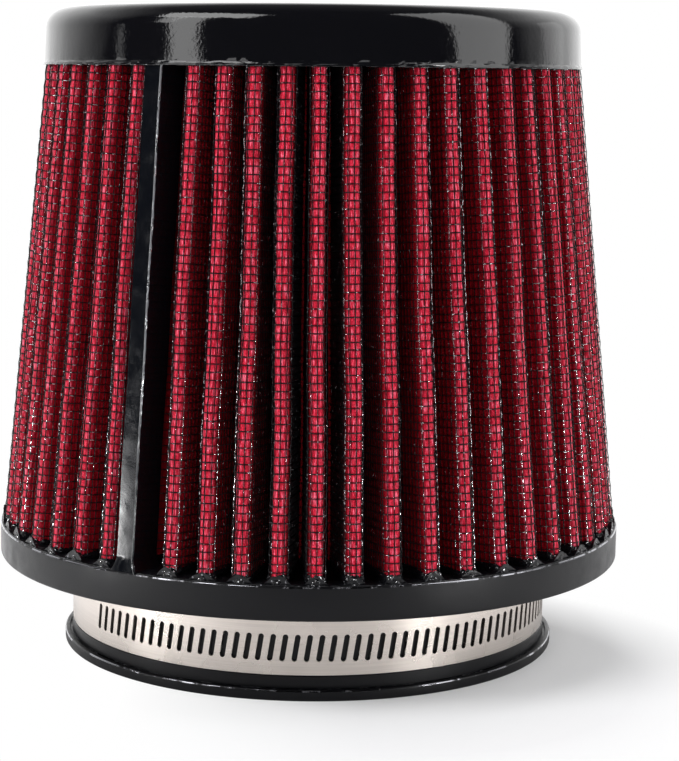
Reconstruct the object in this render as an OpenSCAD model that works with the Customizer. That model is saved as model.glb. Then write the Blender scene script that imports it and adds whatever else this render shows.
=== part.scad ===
// Clamp-on cone air filter: pleated gauze between wire screens, cast cap and base, worm-drive clamp.
// Millimetres. +Z is up. The origin is the centre of the inlet's mouth, in the lip's lower face.
// Azimuth is in degrees from the front (-Y) towards the right (+X).

/* [Base casting] */
// Outside diameter of the base ring
ring_d = 146; // [144:0.5:160]
// Height of the base ring's wall
ring_h = 7.5; // [5:0.5:14]
// Bevel of the base ring's outer edges
ring_bevel = 0.6; // [0.2:0.1:1.2]
// Inside diameter of the inlet
inlet_d = 101.6; // [88:0.1:102]
// Wall of the inlet neck
neck_wall = 4.7; // [4:0.1:5.5]
// Rounding of the inlet's inner edge
inlet_edge_r = 1.5; // [0.5:0.1:2]
// Overhang of the lip beyond the neck
lip_w = 2.55; // [2:0.05:5]
// Height of the lip
lip_h = 2.5; // [2:0.1:4]
// Bevel of the lip's edges
lip_bevel = 0.4; // [0.2:0.1:0.8]
// Overhang of the shoulder under the clamp band
shoulder_w = 0.85; // [0.5:0.05:1.2]
// Height of the shoulder over the lip
shoulder_h = 2.7; // [1.5:0.1:4]
// Width and depth of the groove between the lip and the shoulder
groove_w = 0.6; // [0.3:0.1:0.8]

/* [Cap casting] */
// Outside diameter of the cap at its lower edge
cap_d = 124.2; // [110:0.2:130]
// Height of the cap
cap_h = 12.8; // [10:0.2:24]
// Radius of the cap's upper corner
cap_corner_r = 4.6; // [2:0.2:9]
// How far the cap's wall leans in up to the corner
cap_draft = 0.5; // [0:0.1:2]
// Height of the bead along the cap's lower edge
cap_bead_h = 0.9; // [0.4:0.1:1.5]
// How far the bead stands out from the cap's wall
cap_bead_w = 0.2; // [0.1:0.1:0.8]

/* [Pleated sheet] */
// Height of the pleated sheet between the base ring and the cap
pack_h = 105.6; // [60:0.2:200]
// Number of pleats, apart from the seam
pleats = 53; // [44:1:54]
// Depth of a pleat from its crest to its inner fold
pleat_depth = 19; // [12:0.5:20]
// Outside width of a crest
crest_w = 4.4; // [4:0.1:4.6]
// Thickness of the gauze
gauze_t = 1.1; // [0.8:0.1:1.2]
// Thickness of each wire screen
screen_t = 0.3; // [0.2:0.05:0.35]
// Running gap between the layers of the sheet
layer_gap = 0.03; // [0.02:0.01:0.05]
// How far the crests stand in from the edge of the base ring
crest_setback = 0.7; // [0.6:0.1:2]
// How far the crests stand in from the cap's lower edge
crest_inset = 0.4; // [0:0.1:1]
// Uneven spacing of the pleats, in degrees
pleat_wander = 1.7; // [0:0.1:2]
// Number of times the uneven spacing repeats round the cone
wander_waves = 4; // [1:1:6]
// Height of the screen's cross bars
screen_bar = 4; // [2:0.5:8]

/* [Seam strip] */
// Azimuth of the seam strip
strip_az = -32.45; // [-180:0.05:180]
// Outside width of the seam strip
strip_w = 4.6; // [4.6:0.1:4.8]
// Wall of the seam strip
strip_wall = 0.5; // [0.3:0.05:0.5]
// How far the seam strip reaches into the pleats
strip_depth = 8; // [4:0.5:8.5]
// Width of the ridge along the seam strip's right edge
strip_ridge_w = 0.7; // [0.4:0.1:1.5]
// Height of that ridge over the strip's face
strip_ridge_h = 0.4; // [0.2:0.1:0.6]
// Spacing from the strip to the first crest on its right, in degrees
strip_gap_right = 8.55; // [6:0.05:10]
// Spacing from the strip to the first crest on its left, in degrees
strip_gap_left = 4.9; // [4.9:0.05:8]

/* [Clamp] */
// Width of the clamp band
band_w = 12; // [9:0.5:14]
// Thickness of the clamp band
band_t = 0.65; // [0.5:0.05:0.9]
// Clearance between the neck and the band, and along the band's edges
band_fit = 0.05; // [0.02:0.01:0.2]
// Free height between the clamp's housing and the base ring
clamp_room = 3.25; // [1:0.05:20]
// Azimuth of the clamp's housing
housing_az = 180; // [90:1:270]
// Stretch over which the band laps over itself past the housing, in degrees
lap_tail = 34; // [20:1:60]
// Stretch from the start of the lap to the housing, in degrees
lap_lead = 18; // [14:1:30]
// Stretch over which the band climbs onto its own inner end, in degrees
band_climb = 12; // [8:1:20]
// Azimuth of the first slot
slot_first_az = -56.5; // [-60:0.5:-20]
// Spacing of the slots along the band
slot_pitch = 2.65; // [2.4:0.05:4]
// Width of a slot
slot_w = 1.2; // [0.8:0.1:1.4]
// Length of a slot
slot_l = 6; // [4:0.2:7]
// Lean of the slots, in degrees
slot_lean = 9; // [0:1:12]
// Length of the housing along the band
housing_l = 17; // [14:0.5:22]
// Sheet thickness of the housing
housing_t = 0.9; // [0.6:0.1:1.2]
// Outside diameter of the screw's worm
worm_d = 7.8; // [6.5:0.1:8]
// Depth of the worm's thread
thread_h = 0.8; // [0.5:0.1:1]
// Diameter of the screw's journals
journal_d = 5; // [4:0.1:5.4]
// Radial clearance of the journals in the housing
journal_fit = 0.08; // [0.04:0.01:0.1]
// Clearance round the worm
worm_clear = 0.4; // [0.35:0.05:0.6]
// Width across the flats of the screw's head
head_af = 7; // [6:0.5:8]
// Height of the screw's head
head_h = 4.8; // [3:0.2:7]
// Thickness of the collar under the screw's head
collar_h = 0.8; // [0.5:0.1:1.5]
// How far the collar stands out beyond the head's corners
collar_over = 0.4; // [0.2:0.1:1]
// Width of the driver slot in the screw's head
driver_slot_w = 1.2; // [0.8:0.1:1.6]

/* [Hidden] */
$fn = 96;
eps = 0.01;

// Base
inlet_r = inlet_d / 2;
neck_r = inlet_r + neck_wall;
ring_r = ring_d / 2;
lip_r = neck_r + lip_w;
shoulder_r = neck_r + shoulder_w;
shoulder_z = lip_h + shoulder_h;
band_z = shoulder_z + 2 * band_fit;
band_mid = band_z + band_w / 2;
housing_edge = band_w / 2 + band_fit;
neck_l = band_mid + housing_edge + housing_t + clamp_room;
ring_top = neck_l + ring_h;
neck_fillet = 1;

// Cap
cap_z = ring_top + pack_h;
cap_top = cap_z + cap_h;
cap_r = cap_d / 2;
cap_bead_r = cap_r + cap_bead_w;
cap_wall_r = cap_r - cap_draft;

// Pleated sheet
crest_r_low = ring_r - crest_setback;
crest_r_high = cap_r - crest_inset;
sheet_t = gauze_t + 2 * screen_t + 2 * layer_gap;
crest_fold = crest_w / 2 - sheet_t / 2;
fold_room = 0.2;
inner_fold = sheet_t / 2 + fold_room;
crest_angles = [-90, -45, 0, 45, 90];
inner_angles = [-50, 50];
spacing = (360 - strip_gap_right - strip_gap_left) / (pleats - 1);

// Distances from the middle of the sheet to the faces of its layers
outer_face = sheet_t / 2;
gauze_face = gauze_t / 2;
screen_face = gauze_face + layer_gap;

// Heights at which the outer screen's openings begin and end
mid_z = ring_top + pack_h / 2;
screen_levels = [ring_top, ring_top + screen_bar, mid_z - screen_bar / 2, mid_z + screen_bar / 2,
                 cap_z - screen_bar, cap_z];
plain_levels = [ring_top, cap_z];
open_bands = [1, 3];

// Seam strip
strip_fit = 0.05;
sheet_end = strip_w / 2 - strip_wall - strip_fit - sheet_t / 2;
cone_lean = atan((crest_r_low - crest_r_high) / pack_h);

// Clamp
band_r = neck_r + band_fit;
lap_r = band_r + band_t;
lap_outer_r = lap_r + band_t;
lap_start = housing_az - lap_lead;
lap_end = housing_az + lap_tail;
climb_start = lap_start - band_climb;
ramp_join = 0.3;
ramp_inset = 0.03;
cut_over = 1;
slot_step = slot_pitch / (band_r + band_t) * 180 / PI;
// Plain end of the band past its last slot, in degrees
tail_margin = 5;
slots = floor((lap_end - tail_margin - slot_first_az) / slot_step) + 1;
tail_corner = 3;
worm_r = worm_d / 2;
journal_r = journal_d / 2;
tunnel_r = worm_r + worm_clear;
screw_r = lap_outer_r + worm_clear + worm_r;
// Height of the housing's straight walls beside the band
foot_wall_h = 1;
housing_foot_r = shoulder_r + 2 * band_fit;
housing_waist = lap_outer_r - screw_r + foot_wall_h;
end_wall_foot = lap_outer_r + band_fit - screw_r;
worm_l = housing_l - 2 * housing_t - 2 * worm_clear;
thread_turns = worm_l / slot_pitch - 1;
thread_sides = 16;
// Widths of the thread at its root and at its crest, as shares of the pitch
thread_root = 0.72;
thread_crest = 0.32;
thread_sunk = 0.2;
head_r = head_af / 2 / cos(30);
collar_r = head_r + collar_over;
driver_slot_h = 1.5;

// A point at a radius and an azimuth, moved sideways by t along the circle
function polar(r, az, t = 0) = [r * sin(az + t / r * 180 / PI), -r * cos(az + t / r * 180 / PI)];

// Radius of the crests at height z
function crest_r(z) = crest_r_low + (crest_r_high - crest_r_low) * (z - ring_top) / pack_h;

// Azimuth of crest k, counted from the strip to the right
function crest_az(k) = strip_az + strip_gap_right + (k - 1) * spacing
    - pleat_wander * (1 - cos(360 * wander_waves * k / pleats)) / 2;

// Azimuth of the inner fold after crest k, where the strip stands for crests 0 and pleats + 1
function fold_az(k) =
    k == 0 ? (strip_az + crest_az(1)) / 2
    : k == pleats ? (crest_az(pleats) + strip_az + 360) / 2
    : (crest_az(k) + crest_az(k + 1)) / 2;

// Outline of crest k and of the inner fold after it, at distance d outside the sheet's middle
function crest_line(k, z, d) = [for (a = crest_angles)
    polar(crest_r(z) - crest_w / 2 + (crest_fold + d) * cos(a), crest_az(k), (crest_fold + d) * sin(a))];
function fold_line(k, z, d) = [for (a = inner_angles)
    polar(crest_r(z) - pleat_depth + inner_fold + sheet_t / 2 - (inner_fold - d) * cos(a),
          fold_az(k), (inner_fold - d) * sin(a))];

// Outline of the sheet's two ends, which stand side by side in the seam strip
function end_line(side, z, d) = [for (depth = [strip_wall + strip_fit, strip_depth])
    polar(crest_r(z) - depth, side > 0 ? strip_az : strip_az + 360, side * (sheet_end + d))];
function reversed(list) = [for (i = [len(list) - 1 : -1 : 0]) list[i]];

// Outline of the whole sheet at height z, from the strip all the way round to the strip
function sheet_line(z, d) = concat(
    end_line(1, z, d), fold_line(0, z, d),
    [for (k = [1 : pleats]) each concat(crest_line(k, z, d), fold_line(k, z, d))],
    reversed(end_line(-1, z, d)));
lead_points = 2 + len(inner_angles);
pleat_points = len(crest_angles) + len(inner_angles);
line_points = lead_points + pleats * pleat_points + 2;

// Where a point of the outline stands in an opening: 0 outside, 1 left edge, 2 inside, 3 right edge
function opening_place(i, open) =
    !open || i < lead_points || i >= lead_points + pleats * pleat_points ? 0
    : [0, 1, 2, 3, 0, 0, 0][(i - lead_points) % pleat_points];

function quad(a, b, c, d) = [[a, b, c], [a, c, d]];

// One layer of the sheet between two distances from its middle, as a closed solid.
// With open set, each crest has an opening in every band that open_bands lists.
module layer(d_out, d_in, levels, open) {
    n = line_points;
    top = len(levels) - 1;
    points = [for (d = [d_out, d_in]) for (z = levels) for (p = sheet_line(z, d)) [p[0], p[1], z]];
    function at(side, j, i) = (side * (top + 1) + j) * n + i;
    function place(i) = opening_place(i, open);
    function is_open(j) = len(search(j, open_bands)) > 0;
    // Faces between outline points i and i + 1, clockwise as seen from the outer side
    function wall(side, i) =
        place(i) > 0 && place(i + 1) > 0
            ? [for (j = [0 : top - 1]) if (!is_open(j))
                each quad(at(side, j, i), at(side, j + 1, i), at(side, j + 1, i + 1), at(side, j, i + 1))]
        : place(i + 1) > 0
            ? concat([[at(side, 0, i), at(side, top, i), at(side, top, i + 1)]],
                [for (j = [top : -1 : 1]) [at(side, 0, i), at(side, j, i + 1), at(side, j - 1, i + 1)]])
        : place(i) > 0
            ? concat([for (j = [0 : top - 1]) [at(side, 0, i + 1), at(side, j, i), at(side, j + 1, i)]],
                [[at(side, 0, i + 1), at(side, top, i), at(side, top, i + 1)]])
        : quad(at(side, 0, i), at(side, top, i), at(side, top, i + 1), at(side, 0, i + 1));
    function facing_up(i, j) = quad(at(0, j, i), at(1, j, i), at(1, j, i + 1), at(0, j, i + 1));
    function facing_down(i, j) = quad(at(0, j, i), at(0, j, i + 1), at(1, j, i + 1), at(1, j, i));
    function facing_right(i, j, k) = quad(at(0, j, i), at(0, k, i), at(1, k, i), at(1, j, i));
    function facing_left(i, j, k) = quad(at(1, j, i), at(1, k, i), at(0, k, i), at(0, j, i));
    faces = [
        for (i = [0 : n - 2]) each wall(0, i),
        for (i = [0 : n - 2]) for (f = wall(1, i)) [f[0], f[2], f[1]],
        for (i = [0 : n - 2]) each concat(facing_up(i, top), facing_down(i, 0)),
        each facing_left(0, 0, top),
        each facing_right(n - 1, 0, top),
        if (open) for (i = [0 : n - 2]) for (j = open_bands) each concat(
            place(i) > 0 && place(i + 1) > 0 ? concat(facing_up(i, j), facing_down(i, j + 1)) : [],
            place(i) == 1 ? facing_right(i, j, j + 1) : [],
            place(i) == 3 ? facing_left(i, j, j + 1) : [])];
    polyhedron(points, faces, convexity = 20);
}

module filter_media() {
    color("#b3162b") layer(gauze_face, -gauze_face, plain_levels, false);
}

module outer_screen() {
    color("#202024") layer(outer_face, screen_face, screen_levels, true);
}

module inner_screen() {
    color("#34343a") layer(-screen_face, -outer_face, plain_levels, false);
}

// Channel that grips the sheet's two ends, with a ridge along its right edge
module strip_section() {
    difference() {
        translate([-strip_w / 2, 0]) square([strip_w, strip_depth]);
        translate([strip_wall - strip_w / 2, strip_wall]) square([strip_w - 2 * strip_wall, strip_depth]);
    }
    translate([strip_w / 2 - strip_ridge_w, -strip_ridge_h]) square([strip_ridge_w, strip_ridge_h + eps]);
}

module seam_strip() {
    run = pack_h / cos(cone_lean);
    color("#101014") rotate([0, 0, strip_az]) intersection() {
        translate([0, -crest_r_low, ring_top]) rotate([-cone_lean, 0, 0])
            translate([0, 0, -strip_depth]) linear_extrude(run + 2 * strip_depth) strip_section();
        translate([-strip_w, -ring_r, ring_top]) cube([2 * strip_w, ring_r, pack_h]);
    }
}

// Half section of the base, from the inlet's mouth round the outside
module base_section() {
    polygon(concat(
        [[inlet_r + lip_bevel, 0],
         [lip_r - lip_bevel, 0],
         [lip_r, lip_bevel],
         [lip_r, lip_h - lip_bevel],
         [lip_r - lip_bevel, lip_h],
         [shoulder_r + groove_w, lip_h],
         [shoulder_r + groove_w, lip_h - groove_w],
         [shoulder_r, lip_h - groove_w],
         [shoulder_r, shoulder_z - lip_bevel / 2],
         [shoulder_r - lip_bevel / 2, shoulder_z],
         [neck_r, shoulder_z],
         [neck_r, neck_l - neck_fillet],
         [neck_r + neck_fillet, neck_l],
         [ring_r - ring_bevel, neck_l],
         [ring_r, neck_l + ring_bevel],
         [ring_r, ring_top - ring_bevel],
         [ring_r - ring_bevel, ring_top]],
        [for (a = [90 : 15 : 180])
            [inlet_r + inlet_edge_r + inlet_edge_r * cos(a), ring_top - inlet_edge_r + inlet_edge_r * sin(a)]],
        [[inlet_r, lip_bevel]]));
}

module base() {
    color("#2b2b2f") rotate_extrude() base_section();
}

// Half section of the cap, with the bead along its lower edge
module cap_section() {
    polygon([
        [0, cap_z],
        [cap_bead_r, cap_z],
        [cap_bead_r, cap_z + cap_bead_h / 2],
        [cap_r, cap_z + cap_bead_h],
        [cap_wall_r, cap_top - cap_corner_r],
        [cap_wall_r - cap_corner_r, cap_top],
        [0, cap_top]]);
    translate([cap_wall_r - cap_corner_r, cap_top - cap_corner_r]) intersection() {
        circle(cap_corner_r);
        square(cap_corner_r);
    }
}

module top_cap() {
    color("#0e0e11") rotate_extrude() cap_section();
}

// A stretch of band between two azimuths, lying against radius r
module band_arc(r, from, to) {
    rotate([0, 0, from - 90]) rotate_extrude(angle = to - from)
        translate([r, band_z]) square([band_t, band_w]);
}

// Slot with round ends, cut towards the axis from outside
module band_slot(az) {
    rotate([0, 0, az]) translate([0, 0, band_mid]) rotate([90, slot_lean, 0])
        translate([0, 0, band_r - cut_over]) linear_extrude(2 * (band_t + cut_over)) {
            square([slot_w, slot_l - slot_w], center = true);
            for (end = [-1, 1]) translate([0, end * (slot_l - slot_w) / 2]) circle(slot_w / 2);
        }
}

// What is cut from the band's free end to round its corners
module tail_corners() {
    for (end = [-1, 1])
        rotate([0, 0, lap_end]) translate([0, 0, band_mid]) rotate([90, 0, 0])
            translate([0, 0, lap_r + eps]) linear_extrude(3 * band_t)
                translate([-tail_corner, end * (band_w / 2 - tail_corner)]) scale([1, end]) difference() {
                    square(tail_corner + cut_over);
                    circle(tail_corner);
                }
}

// The stretch where the band climbs from the neck onto its own inner end
module band_ramp() {
    steps = 12;
    function climb_az(i) = climb_start - ramp_join + (band_climb + 2 * ramp_join) * i / steps;
    function climb_r(i) = band_r + ramp_inset + band_t * (1 - cos(180 * i / steps)) / 2;
    translate([0, 0, band_z + ramp_inset]) linear_extrude(band_w - 2 * ramp_inset) polygon(concat(
        [for (i = [0 : steps]) polar(climb_r(i), climb_az(i))],
        [for (i = [steps : -1 : 0]) polar(climb_r(i) + band_t - 2 * ramp_inset, climb_az(i))]));
}

module clamp_band() {
    color("#c8c3ba") difference() {
        union() {
            band_arc(band_r, 0, 360);
            band_ramp();
            difference() {
                band_arc(lap_r - eps, lap_start, lap_end);
                tail_corners();
            }
        }
        for (i = [0 : slots - 1]) band_slot(slot_first_az + i * slot_step);
    }
}

// Section of the housing across the screw: walls along the band's edges and an arch over the worm
module housing_outline(grow, foot) {
    arch = tunnel_r + grow;
    circle(arch);
    polygon([
        [-housing_edge - grow, foot],
        [housing_edge + grow, foot],
        [housing_edge + grow, housing_waist],
        [arch / 2, arch / 2],
        [-arch / 2, arch / 2],
        [-housing_edge - grow, housing_waist]]);
}

// Places what is drawn along +X from the housing's middle on the screw's axis
module on_screw() {
    rotate([0, 0, housing_az + 180]) translate([0, screw_r, band_mid]) children();
}

module along_screw(length) {
    rotate([0, 90, 0]) translate([0, 0, -length / 2]) linear_extrude(length) children();
}

module clamp_housing() {
    foot = housing_foot_r - screw_r;
    color("#bdbbb5") on_screw() difference() {
        union() {
            along_screw(housing_l) difference() {
                housing_outline(housing_t, foot);
                housing_outline(0, foot - housing_t);
            }
            for (end = [-1, 1]) translate([end * (housing_l - housing_t) / 2, 0, 0])
                along_screw(housing_t) housing_outline(housing_t / 2, end_wall_foot);
        }
        along_screw(2 * housing_l) circle(journal_r + journal_fit);
    }
}

// Thread of the worm, a trapezium swept along a helix whose pitch is that of the band's slots
module worm_thread() {
    root = worm_r - thread_h;
    section = [[root - thread_sunk, -thread_root / 2], [root - thread_sunk, thread_root / 2],
               [worm_r, thread_crest / 2], [worm_r, -thread_crest / 2]];
    rings = floor(thread_turns * thread_sides);
    points = [for (i = [0 : rings]) for (p = section)
        let (a = i * 360 / thread_sides)
            [p[0] * cos(a), p[0] * sin(a), slot_pitch * (i / thread_sides + p[1])]];
    faces = concat(
        [for (i = [0 : rings - 1]) for (j = [0 : 3]) let (k = (j + 1) % 4)
            each quad(4 * i + j, 4 * i + 4 + j, 4 * i + 4 + k, 4 * i + k)],
        quad(0, 1, 2, 3),
        quad(4 * rings + 3, 4 * rings + 2, 4 * rings + 1, 4 * rings));
    polyhedron(points, faces, convexity = 10);
}

module clamp_screw() {
    color("#a9a9a6") on_screw() rotate([0, 90, 0]) {
        translate([0, 0, -worm_l / 2]) cylinder(r = worm_r - thread_h, h = worm_l);
        translate([0, 0, -slot_pitch * thread_turns / 2]) worm_thread();
        translate([0, 0, -housing_l / 2]) cylinder(r = journal_r, h = housing_l + worm_clear + collar_h);
        translate([0, 0, housing_l / 2 + worm_clear]) {
            cylinder(r = collar_r, h = collar_h);
            difference() {
                cylinder(r = head_r, h = collar_h + head_h, $fn = 6);
                translate([0, 0, collar_h + head_h])
                    cube([2 * head_af, driver_slot_w, 2 * driver_slot_h], center = true);
            }
        }
    }
}

base();
filter_media();
outer_screen();
inner_screen();
seam_strip();
top_cap();
clamp_band();
clamp_housing();
clamp_screw();
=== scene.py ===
"""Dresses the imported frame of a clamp-on cone air filter and sets its studio. Lengths are in metres."""

import math
from contextlib import contextmanager

import bpy
import numpy as np
from bpy.props import FloatProperty, FloatVectorProperty, IntProperty, PointerProperty
from mathutils import Matrix, Vector


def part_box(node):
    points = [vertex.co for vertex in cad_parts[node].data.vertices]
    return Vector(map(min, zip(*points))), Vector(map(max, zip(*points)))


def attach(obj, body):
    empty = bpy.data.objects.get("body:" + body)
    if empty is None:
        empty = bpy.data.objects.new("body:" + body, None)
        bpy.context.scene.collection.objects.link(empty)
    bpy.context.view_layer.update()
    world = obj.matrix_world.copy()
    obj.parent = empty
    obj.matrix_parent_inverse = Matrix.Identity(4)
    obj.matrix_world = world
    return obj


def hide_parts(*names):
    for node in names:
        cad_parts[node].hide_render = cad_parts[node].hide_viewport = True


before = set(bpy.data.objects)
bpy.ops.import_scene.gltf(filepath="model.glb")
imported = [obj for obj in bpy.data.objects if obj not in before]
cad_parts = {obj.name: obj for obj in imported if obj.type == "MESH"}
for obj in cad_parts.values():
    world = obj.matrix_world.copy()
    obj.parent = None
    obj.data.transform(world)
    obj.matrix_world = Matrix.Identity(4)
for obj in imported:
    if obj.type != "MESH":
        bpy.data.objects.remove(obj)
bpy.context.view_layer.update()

bl_info = {
    "name": "Cone Air Filter",
    "version": (1, 0, 0),
    "blender": (4, 5, 0),
    "location": "3D View > Sidebar > Air Filter",
    "description": "Dresses the frame of a clamp-on cone air filter and sets its studio",
    "category": "Object",
}

PHOTO_WIDTH = 679
PHOTO_HEIGHT = 761
BODY = "filter"
RING_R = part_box("base")[1].x
CAP_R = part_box("top_cap")[1].x
CAP_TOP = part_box("top_cap")[1].z
SHEET_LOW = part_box("filter_media")[0].z
SHEET_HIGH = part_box("filter_media")[1].z
LIP_TOP = 0.0025

# How far the corners of a three-sided wire stand out, against the radius of the round wire
WIRE_CORNER = 1.15

# Degrees through which a screen bends on each side of an inner fold
OUTER_BEND = 50
INNER_BEND = 60

TENT_R = 1.8
TENT_LIGHT = 1.7
TENT_CEILING_LEFT = 0.08
TENT_TOWARD = (0, 0.985, 0.35)
TENT_PALE = (0.095, 0.775)
TENT_CEILING = (0.55, 0.85)
WORLD_LIGHT = 0.26
# Painted light on the floor: FLOOR_GLOW lifts its shade for the camera, FLOOR_MIRRORED and the MIRRORED_
# ramps make it glow in reflections, brighter to the left and the right, and the POOL_ values bound the patch
# where its shadow shows.
FLOOR_GLOW = 0.17
FLOOR_MIRRORED = 0.02
MIRRORED_LEFT = (-0.045, -0.12, 0, 1.0)
MIRRORED_RIGHT = (0.06, 0.15, 0, 0.6)
POOL_CENTRE = (0.014, -0.034, 0)
POOL_R = 0.060
POOL_FADE = 0.026
POOL_LEFT = 0.012
LAMP_TARGET = (0, 0, 0.08)

# Name, azimuth, elevation, distance, width, height, watts, and whether reflections show it
LAMPS = (
    ("softbox_right", 72, 30, 0.9, 0.48, 1.1, 4.6, True),
    ("fill_right", 72, 22, 0.9, 0.4, 0.6, 1.0, False),
    ("softbox_left", -51, 46, 0.9, 0.55, 0.3, 3.0, True),
    ("strip_left", -53, 19, 0.9, 0.19, 0.62, 1.45, True),
    ("strip_step", -62.5, 27, 0.9, 0.11, 0.3, 0.4, True),
    ("fill_left", -56, 34, 0.9, 0.4, 0.4, 2.2, False),
    ("card_back", 118, 8, 0.9, 0.28, 0.5, 0.27, True),
    ("strip_far", -84, 6, 0.9, 0.04, 0.2, 0.03, True),
    ("card_right", 50, -9.2, 0.4, 0.08, 0.03, 0.26, True),
    ("card_left", -70, -9.2, 0.4, 0.08, 0.03, 0.23, True),
    ("softbox_top", -155, 76, 0.9, 0.45, 0.45, 3.2, False),
    ("softbox_front", 4, 12, 0.9, 0.3, 0.3, 1.35, False),
)


def length(name, description, default):
    return FloatProperty(name=name, description=description, default=default, unit="LENGTH", precision=5)


def angle(name, description, degrees):
    return FloatProperty(name=name, description=description, default=math.radians(degrees), unit="ROTATION")


def colour(name, description, default):
    return FloatVectorProperty(name=name, description=description, default=default, size=3, min=0, max=1,
                               subtype="COLOR")


class SheetSettings(bpy.types.PropertyGroup):
    """The folded sheet of gauze and screens."""
    pleats: IntProperty(name="Pleats", description="Number of pleats apart from the seam", default=53)
    depth: length("Pleat depth", "From a crest to an inner fold", 0.019)
    crest_width: length("Crest width", "Outside width of a crest with its screen", 0.0042)
    setback: length("Setback", "How far the crests stand in from the base ring's edge", 0.0007)
    inset: length("Inset", "How far the crests stand in from the cap's bead at the top", 0.0006)
    gauze: length("Gauze thickness", "Thickness of the gauze", 0.0011)
    screen: length("Screen thickness", "Thickness of each wire screen", 0.0003)
    layer_gap: length("Layer gap", "Gap between the layers of the sheet", 0.00003)
    tuck: length("Tuck", "How much narrower the gauze's crests are than those of the screen", 0.0003)
    fold_room: length("Fold room", "Radius of the sheet's outer face in an inner fold", 0.0002)
    seam_azimuth: angle("Seam azimuth", "Azimuth of the seam strip, from the front to the right", -32.45)
    gap_right: angle("Gap right", "From the strip to the first crest on its right", 8.55)
    gap_left: angle("Gap left", "From the strip to the first crest on its left", 4.9)
    wander: angle("Wander", "Uneven spacing of the pleats", 1.7)
    wander_waves: IntProperty(name="Wander waves", description="Repeats of the uneven spacing", default=4)
    sway: length("Sway", "How far a crest sways sideways along its height", 0.00016)
    gauze_colour: colour("Gauze", "Oiled cotton gauze", (0.62, 0.010, 0.038))
    painted_shade_colour: colour("Gauze shade", "Painted shade on the gauze, down the crests' sides, the flanks and the folds", (0.28, 0.0004, 0.007))
    streak_highlight_colour: colour("Threads", "Painted highlight streaks on the crests", (0.88, 0.2, 0.3))


class ScreenSettings(bpy.types.PropertyGroup):
    """The black wire cloth over the gauze."""
    wire: length("Wire", "Diameter of the coated wire", 0.00022)
    row_pitch: length("Row pitch", "Spacing of the wires that run round the cone", 0.00169)
    line_pitch: length("Line pitch", "Spacing of the wires that run up the cone", 0.00145)
    weave: length("Weave", "How far a wire swings over and under the ones it crosses", 0.00009)
    wire_colour: colour("Wire", "Black coating of the wire", (0.004, 0.004, 0.005))
    speck_colour: colour("Specks", "Bright specks on wet or coated edges", (0.62, 0.62, 0.64))


class CastingSettings(bpy.types.PropertyGroup):
    """The cast cap, the cast base and the rim where the pleats are potted."""
    neck_radius: length("Neck radius", "Outside radius of the inlet neck", 0.0555)
    inlet_radius: length("Inlet radius", "Inside radius of the inlet", 0.0508)
    ring_height: length("Ring height", "Height of the base ring's wall", 0.0075)
    cap_corner: length("Cap corner", "Radius of the cap's upper corner", 0.0046)
    cap_draft: length("Cap draft", "How far the cap's wall leans in", 0.0005)
    bead: length("Bead", "Height of the bead along the cap's lower edge", 0.0009)
    foot: length("Foot", "Height to which the casting wets the foot of a crest", 0.0017)
    peak: length("Peak", "Height of the flash that climbs each crest", 0.0023)
    peak_width: length("Peak width", "Width of such a peak at its foot", 0.0054)
    edge_highlight_half: length("Edge highlight", "Half height of the painted highlight line on an edge", 0.00016)
    edge_highlight_colour: colour("Edge highlight", "Painted highlight on the casting's edges, and the flash's bright specks", (0.26, 0.26, 0.28))
    speck_colour: colour("Specks", "Bright specks on the wet casting", (0.85, 0.85, 0.87))
    cap_colour: colour("Cap", "Glossy black polyurethane", (0.0035, 0.0035, 0.0045))
    base_colour: colour("Base", "Satin black polyurethane", (0.002, 0.002, 0.0028))


class StripSettings(bpy.types.PropertyGroup):
    """The strip over the seam of the sheet."""
    width: length("Width", "Outside width of the strip", 0.0046)
    depth: length("Depth", "How far the strip reaches into the pleats", 0.008)
    ridge_width: length("Ridge width", "Width of the ridge along the right edge", 0.00045)
    ridge_height: length("Ridge height", "Height of that ridge", 0.0003)
    strip_colour: colour("Strip", "Glossy black strip", (0.003, 0.0035, 0.005))
    ridge_highlight_colour: colour("Edge", "Painted highlight along the strip's ridge", (0.14, 0.14, 0.15))
    ridge_speck_colour: colour("Ridge specks", "Bright metallic specks in the ridge's painted highlight", (0.6, 0.6, 0.62))


class ClampSettings(bpy.types.PropertyGroup):
    """The finish of the worm-drive clamp."""
    band_colour: colour("Band", "Brushed stainless band", (0.66, 0.6, 0.55))
    screw_colour: colour("Screw", "Zinc plated screw", (0.6, 0.6, 0.6))


class StudioSettings(bpy.types.PropertyGroup):
    """The camera, the floor and the lamps."""
    distance: length("Camera distance", "From the filter's axis to the camera", 0.4877)
    height: length("Camera height", "Height of the camera", 0.13324)
    pitch: FloatProperty(name="Pitch", description="How far the camera looks down", default=0.146,
                         unit="ROTATION")
    roll: FloatProperty(name="Roll", description="How far the camera is turned about its view", default=0.010,
                        unit="ROTATION")
    focal_pixels: FloatProperty(name="Focal length", description="Focal length in pixels", default=2076.2)
    centre_x: FloatProperty(name="Centre x", description="Principal point across, in pixels", default=310.06)
    centre_y: FloatProperty(name="Centre y", description="Principal point down, in pixels", default=378.24)
    floor_colour: colour("Floor", "Pale floor", (0.64, 0.64, 0.65))


class AirFilterSettings(bpy.types.PropertyGroup):
    """All the settings of the filter and its studio."""
    sheet: PointerProperty(type=SheetSettings)
    screen: PointerProperty(type=ScreenSettings)
    castings: PointerProperty(type=CastingSettings)
    strip: PointerProperty(type=StripSettings)
    clamp: PointerProperty(type=ClampSettings)
    studio: PointerProperty(type=StudioSettings)


# Shapes

def polar(radius, azimuth, sideways=0.0):
    """Points at a radius and an azimuth in radians, moved sideways along the circle."""
    turn = azimuth + sideways / radius
    return np.stack((radius * np.sin(turn), -radius * np.cos(turn)), axis=-1)


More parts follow.
